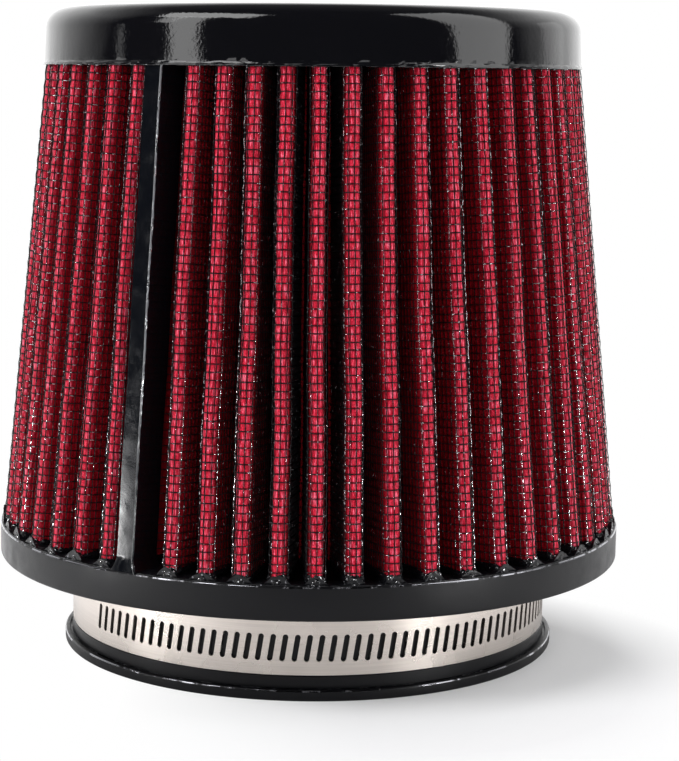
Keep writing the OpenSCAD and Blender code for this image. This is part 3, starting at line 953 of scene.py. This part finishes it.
class AIRFILTER_OT_inner_screen(bpy.types.Operator):
    """Lays the woven wire screen behind the gauze"""
    bl_idname = "airfilter.inner_screen"
    bl_label = "Inner screen"

    def execute(self, context):
        lay_screen(FoldedSheet(context.scene), ("inner_rows_low", "inner_rows_high", "inner_lines"),
                   "inner_screen", self.row, self.lines)
        return {"FINISHED"}

    @staticmethod
    def row(sheet, z):
        line = sheet.outline(z, -sheet.wire_face, np.radians([-90, 0, 90]), (0.5,),
                             np.radians(np.linspace(-INNER_BEND, INNER_BEND, 4)), tuck=sheet.own.tuck)
        return sheet.laid(line, z)

    @staticmethod
    def lines(sheet):
        """Straight wires up the flanks and round the inner folds."""
        pitch, face, tuck = sheet.cloth.line_pitch, -sheet.wire_face, sheet.own.tuck
        flank = sheet.flank(face, math.radians(INNER_BEND), tuck)
        shares = np.arange(0.5, flank / pitch) * pitch / flank
        crests = np.repeat(np.arange(sheet.count), 2 * len(shares))
        sides = np.tile(np.repeat((-1, 1), len(shares)), sheet.count)
        shares = np.tile(shares, 2 * sheet.count)
        levels = []
        for z in np.linspace(sheet.low, sheet.high, 7):
            start = sheet.crest(z, face, sides * np.pi / 2, crests, tuck)
            end = sheet.fold(z, face, -sides * np.radians(INNER_BEND), crests + (sides > 0))
            folds = sheet.fold(z, face, np.radians([-45, 0, 45])).reshape(-1, 2)
            levels.append(at_height(np.concatenate((start + (end - start) * shares[:, None], folds)), z))
        return list(np.stack(levels, axis=1))


class AIRFILTER_OT_cap(bpy.types.Operator):
    """Turns the glossy cap with its bead"""
    bl_idname = "airfilter.cap"
    bl_label = "Cap"

    def execute(self, context):
        own = context.scene.air_filter.castings
        rim = CAP_R - 0.0002
        cap = lathe("cap", rounded([
            (0, SHEET_HIGH, 0),
            (CAP_R, SHEET_HIGH, 0.0001),
            (CAP_R, SHEET_HIGH + own.bead / 2, 0.0002),
            (rim, SHEET_HIGH + own.bead, 0.0003),
            (rim - own.cap_draft * 0.1, SHEET_HIGH + own.bead * 2, 0),
            (rim - own.cap_draft, CAP_TOP, own.cap_corner),
            (rim * 0.5, CAP_TOP, 0),
            (0, CAP_TOP, 0)]), 400)
        self.roughen_bead(cap, own)
        place(cap, "cap_casting", cap_material(own), "top_cap")
        return {"FINISHED"}

    @staticmethod
    def roughen_bead(cap, own):
        """Makes the bead uneven where the casting met the pleats, and the wall very slightly wavy."""
        draw = np.random.default_rng(5)
        waviness = 0.00004
        for vertex in cap.data.vertices:
            reach = math.hypot(vertex.co.x, vertex.co.y)
            if reach < CAP_R * 0.8:
                continue
            turn = math.atan2(vertex.co.x, -vertex.co.y) / (2 * math.pi)
            above = vertex.co.z - SHEET_HIGH
            grow = waviness * float(ripple(np.array(turn), (4, 9, 14), 3))
            if 0 < above < own.bead * 1.3:
                grow += draw.uniform(-0.00007, 0.00001)
                vertex.co.z += draw.uniform(-0.00005, 0.00006)
            vertex.co.x *= 1 + grow / reach
            vertex.co.y *= 1 + grow / reach


class AIRFILTER_OT_base(bpy.types.Operator):
    """Turns the satin base ring with its inlet neck"""
    bl_idname = "airfilter.base"
    bl_label = "Base"

    def execute(self, context):
        own = context.scene.air_filter.castings
        neck = own.neck_radius
        lip = neck + 0.00255
        shoulder, shoulder_top = neck + 0.00085, 0.0052
        groove, groove_low = shoulder + 0.0006, LIP_TOP - 0.0006
        under = SHEET_LOW - own.ring_height
        base = lathe("base_casting", rounded([
            (own.inlet_radius, 0, 0.0004),
            (lip, 0, 0.0005),
            (lip, LIP_TOP, 0.0005),
            (groove, LIP_TOP, 0.0001),
            (groove, groove_low, 0),
            (shoulder, groove_low, 0),
            (shoulder, shoulder_top, 0.0002),
            (neck, shoulder_top, 0),
            (neck, under, 0.001),
            (RING_R, under, 0.0007),
            (RING_R, SHEET_LOW, 0.0005),
            (own.inlet_radius, SHEET_LOW, 0.0015)]), 256)
        place(base, "base_casting", base_material(own), "base")
        return {"FINISHED"}


class AIRFILTER_OT_potting(bpy.types.Operator):
    """Wets the feet of the pleats with the casting, with its ragged flash"""
    bl_idname = "airfilter.potting"
    bl_label = "Potting"

    def execute(self, context):
        own = context.scene.air_filter.castings
        sheet = FoldedSheet(context.scene)
        self.make_feet(own, sheet)
        self.make_flash(own, sheet)
        return {"FINISHED"}

    @staticmethod
    def make_feet(own, sheet):
        """A ragged black sleeve round the foot of the sheet."""
        shape = (np.radians(np.linspace(-90, 90, 11)), (0.1, 0.35, 0.7), np.radians([-50, 0, 50]))
        clear, thickness, tucked_in = 0.00022, 0.0002, 0.0005
        skin = sheet.wire_face + clear
        points = len(sheet.outline(sheet.low, skin, *shape))
        ragged = np.random.default_rng(21).uniform(0.7, 1.15, points)
        uneven = 1 + 0.25 * ripple(np.linspace(0, 1, points), (9, 31, 57), 8)
        heights = own.foot * ragged * uneven
        rows = []
        for share, inset in ((-0.15, 0), (0.3, 0), (0.7, 0), (1.0, tucked_in)):
            flat = sheet.outline(sheet.low, skin - inset, *shape)
            rows.append(at_height(flat, sheet.low + heights * share))
        depth = np.tile(sheet.pleat_depths(*shape), (len(rows), 1))
        feet = mesh_grid("potted_feet", np.array(rows), depth=depth)
        give_wall(feet, thickness, 1)
        point_outwards(feet)
        place(feet, "base_casting", potting_material(own))

    @staticmethod
    def make_flash(own, sheet):
        """The rim round the feet, which climbs each crest to a ragged peak."""
        draw = np.random.default_rng(33)
        crests = sheet.crest_azimuth(sheet.low)
        folds = sheet.fold_azimuth(sheet.low)
        per_pleat, over_seam = 20, 24
        unevenness, peak_unevenness, under = 0.00013, 900, -0.0006
        shares = np.arange(per_pleat) / per_pleat
        turns, peaks = [], []
        for k in range(sheet.count):
            turn = folds[k] + (folds[k + 1] - folds[k]) * shares
            away = np.abs(turn - crests[k]) * RING_R / (own.peak_width / 2 * draw.uniform(0.85, 1.15))
            turns.append(turn)
            peaks.append(own.peak * draw.uniform(0.7, 1.15) * np.clip(1 - away, 0, 0.85) ** 0.8)
        turns.append(np.linspace(folds[-1], folds[0] + 2 * np.pi, over_seam, endpoint=False))
        peaks.append(np.zeros(over_seam))
        turn = np.concatenate(turns)
        noise = draw.uniform(-unevenness, unevenness, (len(turn), 7))
        peak = np.concatenate(peaks) * (1 + noise[:, 6] * peak_unevenness)
        edge = RING_R - 0.0004
        face = sheet.crest_radius(sheet.low) + 0.0003
        rows = []
        for index, (reach, lift, share) in enumerate((
                (edge, under, 0.0), (edge, 0.00012, 0.0), (edge - 0.0003, 0.00016, 0.1),
                (face, 0.0002, 0.6), (face, 0.0002, 1.0), (face - 0.0012, 0.0001, 0.8))):
            radius = reach - sheet.slope * peak * share + noise[:, index] * 0.5
            z = sheet.low + lift + peak * share + noise[:, index] * (0.5 if index > 0 else 0)
            rows.append(at_height(polar(radius, turn), z))
        inside = polar(np.full(len(turn), edge - 0.0045), turn)
        rows += [at_height(inside, sheet.low + lift) for lift in (0.0001, under)]
        rings = np.array(rows).transpose(1, 0, 2)
        flash = mesh_grid("potting_flash", np.concatenate((rings, rings[:1])))
        point_outwards(flash)
        with editing(flash):
            select_open_edges()
            bpy.ops.mesh.bridge_edge_loops()
        point_outwards(flash)
        place(flash, "base_casting", flash_material(own))


class AIRFILTER_OT_strip(bpy.types.Operator):
    """Presses the strip over the seam, with its wrinkled ridge"""
    bl_idname = "airfilter.strip"
    bl_label = "Seam strip"

    def execute(self, context):
        own = context.scene.air_filter.strip
        sheet = FoldedSheet(context.scene)
        seam = sheet.own.seam_azimuth
        half = own.width / 2
        inner = half - own.ridge_width
        edge = 0.00015
        wrinkles, sway, levels = 0.00007, 0.00008, 120
        flare_height, flare_share, flare_out = 0.0035, 0.45, 0.0004
        section = np.array([
            (-half, -own.depth), (-half, -edge), (-half + edge, 0), (0, 0), (inner - edge, 0),
            (inner, own.ridge_height * 0.8), (inner + edge, own.ridge_height),
            (half - edge, own.ridge_height), (half, own.ridge_height - edge), (half, -edge),
            (half, -own.depth)])
        on_ridge, on_face = section[:, 1] > own.ridge_height * 0.5, section[:, 1] > -0.001
        draw = np.random.default_rng(17)
        rings = []
        for number, z in enumerate(np.linspace(sheet.low - sheet.sunk, sheet.high + sheet.sunk, levels)):
            flare = max(0, 1 - (z - sheet.low) / flare_height) ** 2
            wrinkle = draw.uniform(-wrinkles, wrinkles, len(section))
            side = (section[:, 0] * (1 + flare_share * flare) + np.where(on_ridge, wrinkle, 0)
                    + flare * wrinkle)
            out = section[:, 1] + flare_out * flare * on_face + np.where(on_ridge, wrinkle[::-1], 0)
            slow = sway * math.sin(2 * math.pi * (3.1 * number / levels))
            rings.append(at_height(polar(sheet.crest_radius(z) + out, seam, side + slow), z))
        strip = loft("seam_cover", np.array(rings))
        place(strip, "strip", strip_material(own), "seam_strip")
        assign_faces(strip, strip_edge_material(own), lambda middle: (
            middle.to_2d().length * (math.atan2(middle.x, -middle.y) - seam) > inner
            and middle.to_2d().length > sheet.crest_radius(middle.z) + own.ridge_height * 0.3))
        return {"FINISHED"}


class AIRFILTER_OT_clamp(bpy.types.Operator):
    """Gives the clamp's band, housing and screw their steel finishes"""
    bl_idname = "airfilter.clamp"
    bl_label = "Clamp"

    def execute(self, context):
        own = context.scene.air_filter.clamp
        for node, name, steel, roughness, lines, brushed_share in (
                ("clamp_band", "band_steel", own.band_colour, 0.28, 3500.0, 0.35),
                ("clamp_housing", "housing_steel", own.band_colour, 0.24, 2500.0, 0.0),
                ("clamp_screw", "screw_zinc", own.screw_colour, 0.3, 1800.0, 0.0)):
            give_material(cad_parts[node], steel_material(name, steel, roughness, lines, brushed_share))
        return {"FINISHED"}


# Studio

def floor_material(floor):
    """Pale floor that shows white to the camera and in reflections, and keeps the shadow only in a pool round
    the filter.
    """
    material, shader = new_material("studio_floor", floor, Specular_IOR_Level=0.1,
                                    Emission_Color=(1, 1, 1, 1))
    tree = shader.id_data
    here = position(shader)
    feed(shader.inputs["Roughness"], add_range(add_noise(here, 40), 0, 1, 0.75, 0.85))
    rays = add_node(tree, "LightPath").outputs
    seen = add_math("MAXIMUM", rays["Is Camera Ray"], rays["Is Transmission Ray"])
    reach = add_node(tree, "VectorMath", {0: here, 1: POOL_CENTRE}, operation="DISTANCE").outputs["Value"]
    across = split(here)["X"]
    # Painted light: beyond the pool round the filter, and towards the left, the floor shows plain white to
    # the camera, so its cast shadow shows only in that pool.
    beyond = add_range(reach, POOL_R, POOL_R + POOL_FADE, 0, 1)
    left = add_range(across, POOL_LEFT, POOL_LEFT - POOL_FADE * 2, 0, 1)
    # Painted reflection: the floor glows in reflections, more to the left and the right.
    sides = add_math("ADD", add_range(across, *MIRRORED_LEFT), add_range(across, *MIRRORED_RIGHT))
    mirrored = add_math("MULTIPLY", rays["Is Glossy Ray"], add_math("ADD", sides, FLOOR_MIRRORED))
    feed(shader.inputs["Emission Strength"], add_math("MULTIPLY_ADD", seen, FLOOR_GLOW, mirrored))
    blend = add_node(tree, "MixShader", {
        "Fac": add_math("MULTIPLY", add_math("MAXIMUM", beyond, left), seen),
        1: shader.outputs[0],
        2: add_node(tree, "Emission").outputs[0]})
    feed(tree.nodes["Material Output"].inputs["Surface"], blend.outputs[0])
    return material


def tent_material():
    """White cloth behind, which fades to black in front and overhead."""
    material, shader = new_material("tent_cloth", (0, 0, 0), Roughness=1.0, Specular_IOR_Level=0,
                                    Emission_Color=(1, 1, 1, 1))
    here = position(shader)
    toward = add_node(shader.id_data, "VectorMath", {0: here, 1: TENT_TOWARD}, operation="DOT_PRODUCT")
    pale = add_range(toward.outputs["Value"], *(TENT_R * share for share in TENT_PALE), 0, 1)
    ceiling = add_range(split(here)["Z"], *(TENT_R * share for share in TENT_CEILING), TENT_LIGHT,
                        TENT_LIGHT * TENT_CEILING_LEFT)
    feed(shader.inputs["Emission Strength"], add_math("MULTIPLY", pale, ceiling))
    return material


def add_softbox(name, azimuth, elevation, distance, width, height, watts, mirrored):
    """An area lamp that looks at the filter from an azimuth and an elevation in degrees."""
    target = Vector(LAMP_TARGET)
    turn, rise = math.radians(azimuth), math.radians(elevation)
    place_at = target + distance * Vector((math.sin(turn) * math.cos(rise), -math.cos(turn) * math.cos(rise),
                                           math.sin(rise)))
    lamp = bpy.data.lights.new(name, "AREA")
    lamp.shape = "RECTANGLE"
    lamp.size, lamp.size_y = width, height
    lamp.energy = watts
    box = link_object(name, lamp)
    box.visible_camera = False
    box.visible_glossy = mirrored
    box.location = place_at
    box.rotation_euler = (target - place_at).to_track_quat("-Z", "Y").to_euler()


class AIRFILTER_OT_studio(bpy.types.Operator):
    """Sets the floor, the lamps, the world and the camera"""
    bl_idname = "airfilter.studio"
    bl_label = "Studio"

    def execute(self, context):
        own = context.scene.air_filter.studio
        self.make_floor(own)
        self.make_tent()
        self.make_world(context.scene)
        for lamp in LAMPS:
            add_softbox(*lamp)
        self.make_camera(context.scene, own)
        context.scene.view_settings.view_transform = "Standard"
        return {"FINISHED"}

    @staticmethod
    def make_floor(own):
        deselect()
        bpy.ops.mesh.primitive_plane_add(size=1, location=(0, 1.0, 0))
        floor = bpy.context.object
        floor.name = "studio_floor"
        floor.scale = (6, 3.6, 1)
        choose(floor)
        bpy.ops.object.transform_apply(location=True, rotation=True, scale=True)
        floor.data.materials.append(floor_material(own.floor_colour))

    @staticmethod
    def make_tent():
        """A round tent about the filter, seen only in its reflections."""
        deselect()
        bpy.ops.mesh.primitive_uv_sphere_add(segments=64, ring_count=32, radius=TENT_R)
        tent = bpy.context.object
        tent.name = "tent"
        tent.data.materials.append(tent_material())
        for ray in ("camera", "diffuse", "shadow", "transmission"):
            setattr(tent, "visible_" + ray, False)

    @staticmethod
    def make_world(scene):
        """White to the camera and in reflections, and a plain even light otherwise."""
        world = bpy.data.worlds.new("studio_world")
        world.use_nodes = True
        rays = add_node(world.node_tree, "LightPath").outputs
        seen = add_math("MAXIMUM", rays["Is Camera Ray"], rays["Is Glossy Ray"])
        seen = add_math("MAXIMUM", seen, rays["Is Transmission Ray"])
        background = world.node_tree.nodes["Background"].inputs
        feed(background["Color"], (1, 1, 1))
        feed(background["Strength"], add_range(seen, 0, 1, WORLD_LIGHT, 1))
        scene.world = world

    @staticmethod
    def make_camera(scene, own):
        data = bpy.data.cameras.new("camera")
        data.sensor_width = 36
        data.sensor_fit = "AUTO"
        data.lens = own.focal_pixels * data.sensor_width / PHOTO_HEIGHT
        data.shift_x = (PHOTO_WIDTH / 2 - own.centre_x) / PHOTO_HEIGHT
        data.shift_y = (own.centre_y - PHOTO_HEIGHT / 2) / PHOTO_HEIGHT
        data.clip_start = 0.01
        camera = link_object("camera", data)
        camera.matrix_world = (Matrix.Translation((0, -own.distance, own.height))
                               @ Matrix.Rotation(math.pi / 2 - own.pitch, 4, "X")
                               @ Matrix.Rotation(own.roll, 4, "Z"))
        scene.camera = camera


class AIRFILTER_PT_panel(bpy.types.Panel):
    """Lists the pieces and the studio"""
    bl_label = "Air Filter"
    bl_idname = "AIRFILTER_PT_panel"
    bl_space_type = "VIEW_3D"
    bl_region_type = "UI"
    bl_category = "Air Filter"

    def draw(self, context):
        for operator in OPERATORS:
            self.layout.operator(operator.bl_idname)
        settings = context.scene.air_filter
        for name in settings.bl_rna.properties.keys():
            group = getattr(settings, name)
            if isinstance(group, bpy.types.PropertyGroup):
                box = self.layout.box()
                for key in group.bl_rna.properties.keys():
                    if key not in {"rna_type", "name"}:
                        box.prop(group, key)


SETTINGS = (SheetSettings, ScreenSettings, CastingSettings, StripSettings, ClampSettings, StudioSettings,
            AirFilterSettings)
OPERATORS = (AIRFILTER_OT_base, AIRFILTER_OT_gauze, AIRFILTER_OT_screens, AIRFILTER_OT_inner_screen,
             AIRFILTER_OT_potting, AIRFILTER_OT_strip, AIRFILTER_OT_cap, AIRFILTER_OT_clamp,
             AIRFILTER_OT_studio)


def register():
    for part in SETTINGS + OPERATORS + (AIRFILTER_PT_panel,):
        bpy.utils.register_class(part)
    bpy.types.Scene.air_filter = PointerProperty(type=AirFilterSettings)


def unregister():
    del bpy.types.Scene.air_filter
    for part in reversed(SETTINGS + OPERATORS + (AIRFILTER_PT_panel,)):
        bpy.utils.unregister_class(part)


def main():
    register()
    for operator in OPERATORS:
        group, name = operator.bl_idname.split(".")
        getattr(getattr(bpy.ops, group), name)()
    bpy.context.view_layer.update()


if __name__ == "__main__":
    main()
